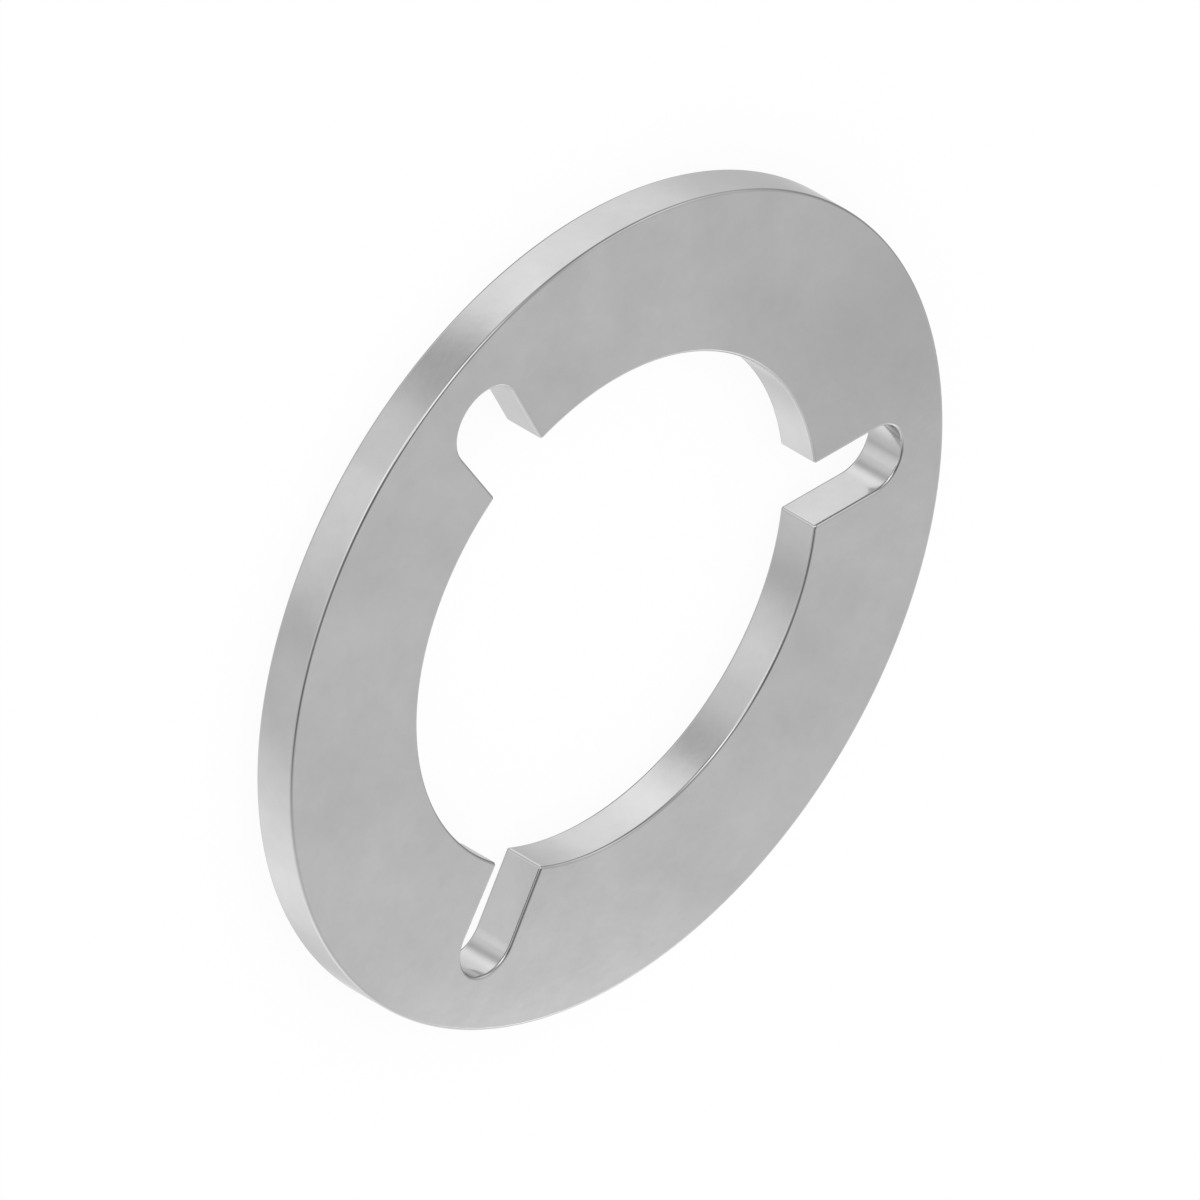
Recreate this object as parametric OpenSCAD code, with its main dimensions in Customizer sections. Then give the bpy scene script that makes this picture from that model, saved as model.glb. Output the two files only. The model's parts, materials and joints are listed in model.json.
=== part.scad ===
// Thrust washer with three radial slots open to its bore.
// It lies on its bottom face: the axis is Z and the bottom face is at z = 0.

/* [Ring] */
// Outside diameter
outer_d = 49; // [48:0.5:80]
// Bore diameter
bore_d = 30; // [20:0.5:31]
// Thickness from face to face
thickness = 2.65; // [1.5:0.05:6]

/* [Slots] */
// Width of a slot between its walls
slot_w = 4.05; // [2:0.05:5]
// Distance from the bore to the centre of a slot's round end
slot_len = 4.4; // [3:0.1:5]
// Extra width of the flared slot at its round end
flare = 0.5; // [0.1:0.1:1]
// How far one wall of the leaning slot comes in at its mouth
lean = 0.2; // [0.1:0.05:0.4]

/* [Edges] */
// Radius that rounds the edges of both faces
edge_r = 0.18; // [0.06:0.02:0.2]
// Radius that rounds the upright corners where a slot opens into the bore
mouth_r = 0.2; // [0.1:0.05:0.3]

/* [Hidden] */
$fn = 128;

// Directions of the slots, counted from +X
plain_slot_dir = 0;
flared_slot_dir = 120;
leaning_slot_dir = 240;

outer_r = outer_d / 2;
bore_r = bore_d / 2;
end_x = bore_r + slot_len;
// Angle at which a mouth corner's rounding meets the two walls, so that it cuts clear of them
meet_angle = 8;
// How deep inside both walls that rounding has its centre
mouth_in = mouth_r * cos(meet_angle);
// How far a cutter runs past what it cuts
over = 1;

// Where a point at height h above a slot's middle line lies on the bore
function bore_x(h) = sqrt(bore_r ^ 2 - h ^ 2);

// Angle between a slot's middle line and the wall that leaves the bore at height mouth_h
// and runs on to touch the round end
function flare_angle(mouth_h, end_r) =
    let (dx = end_x - bore_x(mouth_h))
    asin(end_r / norm([dx, mouth_h])) - atan2(mouth_h, dx);

// Section of the ring, from its bore out to its rim, with all four corners rounded
module ring_section() {
    wall = outer_r - bore_r;
    translate([bore_r, 0]) {
        translate([edge_r, 0]) square([wall - 2 * edge_r, thickness]);
        translate([0, edge_r]) square([wall, thickness - 2 * edge_r]);
        for (x = [edge_r, wall - edge_r], z = [edge_r, thickness - edge_r])
            translate([x, z]) circle(r = edge_r);
    }
}

// What rounding takes off a square corner whose material lies towards -X and -Y
module corner_waste() {
    difference() {
        translate([-edge_r, -edge_r]) square(edge_r + over);
        translate([-edge_r, -edge_r]) circle(r = edge_r);
    }
}

// Round end of a slot along +X, with rounded edges at both faces
module slot_end(end_r) {
    translate([end_x, 0, 0]) rotate_extrude() {
        translate([0, -over]) square([end_r, thickness + 2 * over]);
        translate([end_r, thickness]) mirror([1, 0]) corner_waste();
        translate([end_r, 0]) rotate(180) corner_waste();
    }
}

// One side of a slot along +X: the space inside its wall, with rounded edges at both faces
module slot_side(mouth_h, end_r) {
    run = slot_len + over;
    translate([end_x, 0, 0]) rotate(flare_angle(mouth_h, end_r)) {
        translate([-run, -end_r / 2, -over]) cube([run, end_r * 1.5, thickness + 2 * over]);
        translate([0, end_r, 0]) rotate([90, 0, -90]) linear_extrude(run) {
            translate([0, thickness]) corner_waste();
            mirror([0, 1]) corner_waste();
        }
    }
}

// What rounding takes off the upright corner between the bore and one side of a slot along +X.
// It is laid out along the slot's wall, with the washer's axis at axis_at
module slot_mouth(mouth_h, end_r) {
    tilt = flare_angle(mouth_h, end_r);
    axis_at = end_x * [-cos(tilt), sin(tilt)];
    y = end_r + mouth_in;
    x = axis_at.x + sqrt((bore_r + mouth_in) ^ 2 - (y - axis_at.y) ^ 2);
    to_bore = over * (axis_at - [x, y]) / norm(axis_at - [x, y]);
    to_slot = [0, -over];
    translate([end_x, 0, -over]) rotate(tilt) translate([x, y, 0])
        linear_extrude(thickness + 2 * over) difference() {
            polygon([[0, 0], to_bore, to_bore + to_slot, to_slot]);
            circle(r = mouth_r);
        }
}

// Slot along +X. The mouth heights are those of its two walls, above and below its middle line
module slot(mouth_above, mouth_below, end_r) {
    slot_end(end_r);
    slot_side(mouth_above, end_r);
    slot_mouth(mouth_above, end_r);
    mirror([0, 1, 0]) {
        slot_side(mouth_below, end_r);
        slot_mouth(mouth_below, end_r);
    }
}

module thrust_washer() {
    half_w = slot_w / 2;
    color("silver") difference() {
        rotate_extrude() ring_section();
        rotate(plain_slot_dir) slot(half_w, half_w, half_w);
        rotate(flared_slot_dir) slot(half_w, half_w, half_w + flare / 2);
        rotate(leaning_slot_dir) slot(half_w, half_w - lean, half_w);
    }
}

thrust_washer();
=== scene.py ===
"""Dresses the thrust washer: one ring of satin steel, seen from above on a white floor."""

import json
import math

import bmesh
import bpy
from mathutils import Matrix, Vector

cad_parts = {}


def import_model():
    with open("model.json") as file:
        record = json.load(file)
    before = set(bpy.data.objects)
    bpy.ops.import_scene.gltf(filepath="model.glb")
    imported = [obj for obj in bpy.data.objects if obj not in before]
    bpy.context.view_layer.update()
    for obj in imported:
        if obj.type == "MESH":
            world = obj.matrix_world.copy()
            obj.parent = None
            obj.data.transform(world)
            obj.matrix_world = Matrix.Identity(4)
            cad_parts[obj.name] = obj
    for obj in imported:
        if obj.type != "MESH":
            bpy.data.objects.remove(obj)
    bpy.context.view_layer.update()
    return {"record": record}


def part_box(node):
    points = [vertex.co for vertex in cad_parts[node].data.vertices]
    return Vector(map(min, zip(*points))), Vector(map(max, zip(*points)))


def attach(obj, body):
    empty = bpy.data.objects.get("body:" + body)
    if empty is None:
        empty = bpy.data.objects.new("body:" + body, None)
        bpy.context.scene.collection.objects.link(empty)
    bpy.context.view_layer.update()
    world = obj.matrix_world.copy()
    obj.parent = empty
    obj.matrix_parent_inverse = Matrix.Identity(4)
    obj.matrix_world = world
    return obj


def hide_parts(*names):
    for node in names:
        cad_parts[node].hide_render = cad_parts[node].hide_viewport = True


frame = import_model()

MM = 0.001
UP = Vector((0, 0, 1))

# Washer, in metres. The ring and its bore are read from the frame
NODE = "thrust_washer"
node_low, node_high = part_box(NODE)
mounts = {m["name"]: m for m in frame["record"]["mounts"]}
OUTER_R = (node_high.x - node_low.x) / 2
BORE_R = mounts["bore"]["dims"]["r_mm"] * MM
THICKNESS = node_high.z - node_low.z
EDGE_R = 0.18 * MM
SLOT_W = 4.05 * MM
SLOT_LEN = 4.4 * MM
FLARE = 0.5 * MM
LEAN = 0.2 * MM
# Rounding of the upright corners where a slot opens into the bore
MOUTH_R = 0.2 * MM
HALF_W = SLOT_W / 2
# Slots: direction in degrees, mouth heights above and below the middle line, end radius
SLOTS = [
    (0, HALF_W, HALF_W, HALF_W),
    (120, HALF_W, HALF_W, HALF_W + FLARE / 2),
    (240, HALF_W, HALF_W - LEAN, HALF_W),
]
END_X = BORE_R + SLOT_LEN

# Steps along each kind of curve: the bore from slot to slot, a slot's end, an upright corner and
# a rounded edge
BORE_STEPS = 110
END_STEPS = 48
CORNER_STEPS = 8
EDGE_STEPS = 10

# Camera: level with none of the axes, it sees all three alike
TO_CAMERA = Vector((-1, 1, 1)).normalized()
CAMERA_UP = Vector((1, 2, -1)).normalized()
CAMERA_RIGHT = CAMERA_UP.cross(TO_CAMERA)
CAMERA_DISTANCE = 0.5
# Nearest and farthest that it sees
CAMERA_NEAR = 0.01
CAMERA_FAR = 10
FRAME_WIDTH = 63.73 * MM
# Where the middle of the top face lies in the frame, right and up of the frame's middle
OFF_RIGHT = 0.932 * MM
OFF_UP = -0.53 * MM


def turned(point, degrees):
    """A flat vector turned about the washer's axis."""
    return Matrix.Rotation(math.radians(degrees), 2) @ point


def at_angle(radians):
    """The flat direction at an angle from +X."""
    return Vector((math.cos(radians), math.sin(radians)))


def from_angles(azimuth, elevation):
    """A direction in space from its azimuth and elevation in degrees."""
    flat = at_angle(math.radians(azimuth)) * math.cos(math.radians(elevation))
    return flat.to_3d() + UP * math.sin(math.radians(elevation))


def spread(start, end, steps):
    """Evenly spaced values from start to end, both included."""
    return [start + (end - start) * i / steps for i in range(steps + 1)]


def wall_angle(mouth_h, end_r):
    """Angle between a slot's middle line and the wall that runs from its mouth to its round end."""
    mouth_x = math.sqrt(BORE_R**2 - mouth_h**2)
    run = END_X - mouth_x
    return math.asin(end_r / math.hypot(run, mouth_h)) - math.atan2(mouth_h, run)


def mouth_corner(mouth_h, end_r):
    """The rounded corner above a slot along +X: points from the slot's wall to the bore, with the
    direction in which the steel faces at each."""
    tilt = wall_angle(mouth_h, end_r)
    along = at_angle(tilt)
    above = at_angle(tilt + math.pi / 2)
    start = Vector((END_X, 0)) + (end_r + MOUTH_R) * above
    reach = BORE_R + MOUTH_R
    back = start.dot(along) - math.sqrt(start.dot(along) ** 2 - start.length_squared + reach**2)
    centre = start - back * along
    to_bore = math.atan2(centre.y, centre.x) - math.pi
    facing = [at_angle(a) for a in spread(tilt - math.pi / 2, to_bore, CORNER_STEPS)]
    return [(centre + MOUTH_R * f, f) for f in facing]


def flipped(vector):
    """A flat vector mirrored in the X axis."""
    return Vector((vector.x, -vector.y))


def slot_outline(direction, mouth_above, mouth_below, end_r):
    """One slot, counter-clockwise about the axis: out along its lower wall, round its end, back."""
    upper = mouth_corner(mouth_above, end_r)
    lower = [(flipped(p), flipped(f)) for p, f in reversed(mouth_corner(mouth_below, end_r))]
    first = -math.pi / 2 - wall_angle(mouth_below, end_r)
    last = math.pi / 2 + wall_angle(mouth_above, end_r)
    centre = Vector((END_X, 0))
    end = [(centre + end_r * at_angle(a), -at_angle(a)) for a in spread(first, last, END_STEPS)]
    return [(turned(p, direction), turned(f, direction)) for p, f in lower + end + upper]


def bore_outline(before, after):
    """The stretch of bore between two slots, without its first and last points."""
    start = math.atan2(before.y, before.x)
    end = math.atan2(after.y, after.x)
    if end < start:
        end += 2 * math.pi
    return [(BORE_R * at_angle(a), -at_angle(a)) for a in spread(start, end, BORE_STEPS)[1:-1]]


def inner_outline():
    """Bore and slots as one closed line of points, each with the direction that the steel faces."""
    slots = [slot_outline(*s) for s in SLOTS]
    line = []
    for this, following in zip(slots, slots[1:] + slots[:1]):
        line += this + bore_outline(this[-1][0], following[0][0])
    return line


def edge_ring(line, rise, at_top):
    """Points along a face's rounded edge where it faces up by the angle rise, and their facing."""
    z = THICKNESS - EDGE_R if at_top else EDGE_R
    inset = EDGE_R * (1 - math.cos(rise))
    points = [(p - inset * f).to_3d() + UP * (z + EDGE_R * math.sin(rise)) for p, f in line]
    facing = [math.cos(rise) * f.to_3d() + math.sin(rise) * UP for _, f in line]
    return points, facing


def washer_mesh():
    """The washer as rings of points, which go once round its section: down the outer wall, in along
    the bottom face, up the inner wall and out along the top face."""
    inner = inner_outline()
    outer = [(OUTER_R * p.normalized(), p.normalized()) for p, _ in inner]
    quarter = spread(0, math.pi / 2, EDGE_STEPS)
    rings = [edge_ring(outer, a, True) for a in reversed(quarter)]
    rings += [edge_ring(outer, -a, False) for a in quarter]
    rings += [edge_ring(inner, -a, False) for a in reversed(quarter)]
    rings += [edge_ring(inner, a, True) for a in quarter]
    n = len(inner)
    faces = []
    for k in range(len(rings)):
        here, there = k * n, (k + 1) % len(rings) * n
        faces += [(here + i, there + i, there + (i + 1) % n, here + (i + 1) % n) for i in range(n)]
    mesh = bpy.data.meshes.new("thrust_washer_steel")
    mesh.from_pydata([p for points, _ in rings for p in points], [], faces)
    mesh.shade_smooth()
    mesh.normals_split_custom_set_from_vertices([f for _, facing in rings for f in facing])
    return mesh


def node_maker(tree):
    """Two helpers: one adds a node of any kind to the tree, the other a math node from its terms.
    Each input is given a value or the output of another node."""

    def add(kind, inputs=(), **settings):
        node = tree.nodes.new(kind)
        for name, value in settings.items():
            setattr(node, name, value)
        for name, value in dict(inputs).items():
            if isinstance(value, bpy.types.NodeSocket):
                tree.links.new(value, node.inputs[name])
            else:
                node.inputs[name].default_value = value
        return node

    def work_out(operation, *terms):
        return add("ShaderNodeMath", enumerate(terms), operation=operation).outputs["Value"]

    return add, work_out


def new_material(name):
    """A material with an empty tree, and what adds nodes to it."""
    material = bpy.data.materials.new(name)
    material.use_nodes = True
    material.node_tree.nodes.clear()
    return material, *node_maker(material.node_tree)


# Mottling of the steel: its noise, and which part of the noise's range counts
MOTTLE = {"Scale": 180.0, "Detail": 4.0, "Roughness": 0.6}
MOTTLE_RANGE = (0.3, 0.7)
# Origin of the noise, the direction in the washer's plane along which it is drawn out, and by how
# much
MOTTLE_AT = (0, 0, 200 * MM)
GRAIN_AT = math.radians(135)
GRAIN_STRETCH = 1.3
# Reflectance and roughness at both ends of the mottling's range, and how deep its unevenness is
REFLECTANCE = (0.52, 0.6)
ROUGHNESS = (0.17, 0.13)
UNEVEN = 0.02 * MM


def steel():
    """Satin steel, faintly mottled and uneven all over."""
    material, add, _ = new_material("satin_steel")
    place = add("ShaderNodeTexCoord")
    drawn_out = add(
        "ShaderNodeMapping",
        {
            "Vector": place.outputs["Object"],
            "Location": MOTTLE_AT,
            "Rotation": (0, 0, GRAIN_AT),
            "Scale": (GRAIN_STRETCH, 1, 1),
        },
        vector_type="TEXTURE",
    )
    noise = add("ShaderNodeTexNoise", {"Vector": drawn_out.outputs["Vector"], **MOTTLE})
    mottle = noise.outputs["Fac"]

    def between(low, high):
        terms = enumerate((mottle, *MOTTLE_RANGE, low, high))
        return add("ShaderNodeMapRange", terms).outputs["Result"]

    uneven = add("ShaderNodeBump", {"Distance": UNEVEN, "Height": mottle})
    shader = add(
        "ShaderNodeBsdfPrincipled",
        {
            "Base Color": between(*REFLECTANCE),
            "Metallic": 1.0,
            "Roughness": between(*ROUGHNESS),
            "Normal": uneven.outputs["Normal"],
        },
    )
    add("ShaderNodeOutputMaterial", {"Surface": shader.outputs["BSDF"]})
    return material


# Tent round the washer, seen only in the steel: its radius, how finely its round form is divided,
# its tone at the horizon, and how much that tone changes from there to straight up
TENT_R = 1.5
TENT_DIVISIONS = 5
TENT_TONE = 0.735
TENT_RISE = -0.04
# Soft cards and flags on the tent: azimuth and elevation in degrees as seen from the washer, half
# width in degrees, and how much lighter or darker than the tent each one is
CARDS = [
    (112, 24, 13, 0.95),
    (144, -10, 18, 0.8),
    (106, 31, 12, 0.8),
    (38, 35, 15, 0.6),
    (-100, -8, 24, 0.55),
    (75, -37, 15, 0.55),
    (131, -11, 8, 0.5),
    (35, -32, 17, 0.45),
    (-50, 66, 13, 0.35),
    (-47, 18, 10, 0.35),
    (-47, -40, 9, 0.3),
    (-115, -42, 18, 0.2),
    (-180, -38, 5, -0.15),
    (-60, -52, 21, -0.3),
    (-160, 32, 13, -0.4),
    (-5, 0, 17, -0.4),
    (138, 37, 8, -0.4),
    (-38, -16, 8, -0.45),
    (57, 8, 21, -0.5),
    (140, 59, 34, -0.5),
    (35, -59, 12, -0.8),
    (102, -23, 8, -0.9),
]
# A narrow flag, with its place, size and tone as above, and the azimuth of the upright edge that
# cuts it off
CUT_FLAG = (134, -35, 4, -0.09)
CUT_AT = 136
# No part of the tent is darker than this
LEAST_TONE = 0.02

# Soft discs near the top face: the name of each one, where the face's plane mirrors its middle to
# the camera, how far it fades out from there, its tone, and how much of the tent its middle covers
DISC_DISTANCE = 120 * MM
DISCS = [
    ("glow", Vector((8, -55.5)) * MM, 10 * MM, 3.9, 0.53),
    ("shade", Vector((21, 8)) * MM, 4.8 * MM, 0.0, 0.2),
]
# A disc's radius, counted in its fades, and the number of its sides
DISC_REACH = 3.5
DISC_SIDES = 64

# Half the floor's side, and how far below the washer it lies
FLOOR_HALF = 3.0
FLOOR_GAP = 0.02 * MM
# How much of the floor's own shading gives way to plain white where the camera sees it
FLOOR_WHITE = 0.92


def light_material(name):
    """As new_material, for a surface that shines of itself but isn't sampled as a lamp."""
    material, add, work_out = new_material(name)
    material.cycles.emission_sampling = "NONE"
    return material, add, work_out


def only_mirrored(thing):
    """Adds a part of the studio that the steel mirrors and that nothing else sees."""
    bpy.context.scene.collection.objects.link(thing)
    thing.visible_camera = False
    thing.visible_diffuse = False
    thing.visible_shadow = False


def form_mesh(name, shape, **sizes):
    """A mesh made by one of the plain shapes of bmesh."""
    form = bmesh.new()
    shape(form, **sizes)
    mesh = bpy.data.meshes.new(name)
    form.to_mesh(mesh)
    form.free()
    return mesh


def light_tent():
    """A round tent: an even tone with soft cards and flags on it."""
    material, add, work_out = light_material("tent_light")
    place = add("ShaderNodeTexCoord")
    towards = add("ShaderNodeVectorMath", {0: place.outputs["Object"]}, operation="NORMALIZE")

    def along(direction):
        terms = {0: towards.outputs["Vector"], 1: direction}
        return add("ShaderNodeVectorMath", terms, operation="DOT_PRODUCT").outputs["Value"]

    def card(azimuth, elevation, half_width):
        sharp = 1 / math.radians(half_width) ** 2
        near = along(from_angles(azimuth, elevation))
        return work_out("EXPONENT", work_out("MULTIPLY_ADD", near, sharp, -sharp))

    total = work_out("MULTIPLY_ADD", along(UP), TENT_RISE, TENT_TONE)
    for *place_and_size, tone in CARDS:
        total = work_out("MULTIPLY_ADD", card(*place_and_size), tone, total)
    *place_and_size, tone = CUT_FLAG
    before_edge = work_out("GREATER_THAN", along(from_angles(CUT_AT, 0).cross(UP)), 0.0)
    cut = work_out("MULTIPLY", card(*place_and_size), before_edge)
    total = work_out("MULTIPLY_ADD", cut, tone, total)
    level = work_out("MAXIMUM", total, LEAST_TONE)
    glow = add("ShaderNodeEmission", {"Strength": level})
    add("ShaderNodeOutputMaterial", {"Surface": glow.outputs["Emission"]})
    ball = bmesh.ops.create_icosphere
    mesh = form_mesh("light_tent", ball, subdivisions=TENT_DIVISIONS, radius=TENT_R)
    mesh.shade_smooth()
    mesh.materials.append(material)
    only_mirrored(bpy.data.objects.new("light_tent", mesh))


def soft_disc(name, at, fade, tone, cover):
    """A disc across the line of sight that the top face mirrors, see-through towards its rim."""
    material, add, work_out = light_material(name + "_light")
    place = add("ShaderNodeTexCoord")
    away = add("ShaderNodeVectorMath", {0: place.outputs["Object"]}, operation="LENGTH")
    squared = work_out("POWER", away.outputs["Value"], 2.0)
    bell = work_out("EXPONENT", work_out("MULTIPLY", squared, -1 / (2 * fade**2)))
    share = work_out("MULTIPLY", bell, cover)
    clear = add("ShaderNodeBsdfTransparent")
    glow = add("ShaderNodeEmission", {"Strength": tone})
    blend = add(
        "ShaderNodeMixShader",
        {0: share, 1: clear.outputs["BSDF"], 2: glow.outputs["Emission"]},
    )
    add("ShaderNodeOutputMaterial", {"Surface": blend.outputs["Shader"]})
    ring = bmesh.ops.create_circle
    mesh = form_mesh(name, ring, cap_ends=True, segments=DISC_SIDES, radius=fade * DISC_REACH)
    mesh.materials.append(material)
    disc = bpy.data.objects.new(name, mesh)
    mirrored = Vector((-TO_CAMERA.x, -TO_CAMERA.y, TO_CAMERA.z))
    disc.rotation_euler = mirrored.to_track_quat("Z", "Y").to_euler()
    disc.location = at.to_3d() + UP * THICKNESS + DISC_DISTANCE * mirrored
    only_mirrored(disc)


def floor():
    """A white floor that keeps a faint shadow of the washer."""
    half = FLOOR_HALF
    mesh = bpy.data.meshes.new("floor")
    corners = [(-half, -half), (half, -half), (half, half), (-half, half)]
    mesh.from_pydata([(x, y, -FLOOR_GAP) for x, y in corners], [], [(0, 1, 2, 3)])
    material, add, work_out = light_material("white_floor")
    ray = add("ShaderNodeLightPath")
    share = work_out("MULTIPLY", ray.outputs["Is Camera Ray"], FLOOR_WHITE)
    matt = add("ShaderNodeBsdfDiffuse", {"Color": (1, 1, 1, 1)})
    white = add("ShaderNodeEmission")
    blend = add(
        "ShaderNodeMixShader",
        {0: share, 1: matt.outputs["BSDF"], 2: white.outputs["Emission"]},
    )
    add("ShaderNodeOutputMaterial", {"Surface": blend.outputs["Shader"]})
    mesh.materials.append(material)
    ground = bpy.data.objects.new("floor", mesh)
    bpy.context.scene.collection.objects.link(ground)
    # In its place the steel mirrors the lower half of the tent
    ground.visible_glossy = False


def world():
    """A plain white world."""
    sky = bpy.data.worlds.new("white_studio")
    sky.use_nodes = True
    background = sky.node_tree.nodes["Background"]
    background.inputs["Color"].default_value = (1, 1, 1, 1)
    background.inputs["Strength"].default_value = 1.0
    bpy.context.scene.world = sky


def camera():
    """The photograph's view, without perspective."""
    data = bpy.data.cameras.new("camera")
    data.type = "ORTHO"
    data.ortho_scale = FRAME_WIDTH
    data.clip_start = CAMERA_NEAR
    data.clip_end = CAMERA_FAR
    eye = bpy.data.objects.new("camera", data)
    bpy.context.scene.collection.objects.link(eye)
    middle = UP * THICKNESS - OFF_RIGHT * CAMERA_RIGHT - OFF_UP * CAMERA_UP
    axes = Matrix((CAMERA_RIGHT, CAMERA_UP, TO_CAMERA)).transposed().to_4x4()
    eye.matrix_world = Matrix.Translation(middle + CAMERA_DISTANCE * TO_CAMERA) @ axes
    bpy.context.scene.camera = eye


washer = bpy.data.objects.new("thrust_washer_steel", washer_mesh())
bpy.context.scene.collection.objects.link(washer)
washer.data.materials.append(steel())
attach(washer, "root")
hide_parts(NODE)

floor()
light_tent()
for disc in DISCS:
    soft_disc(*disc)
world()
camera()
bpy.context.scene.view_settings.view_transform = "Standard"
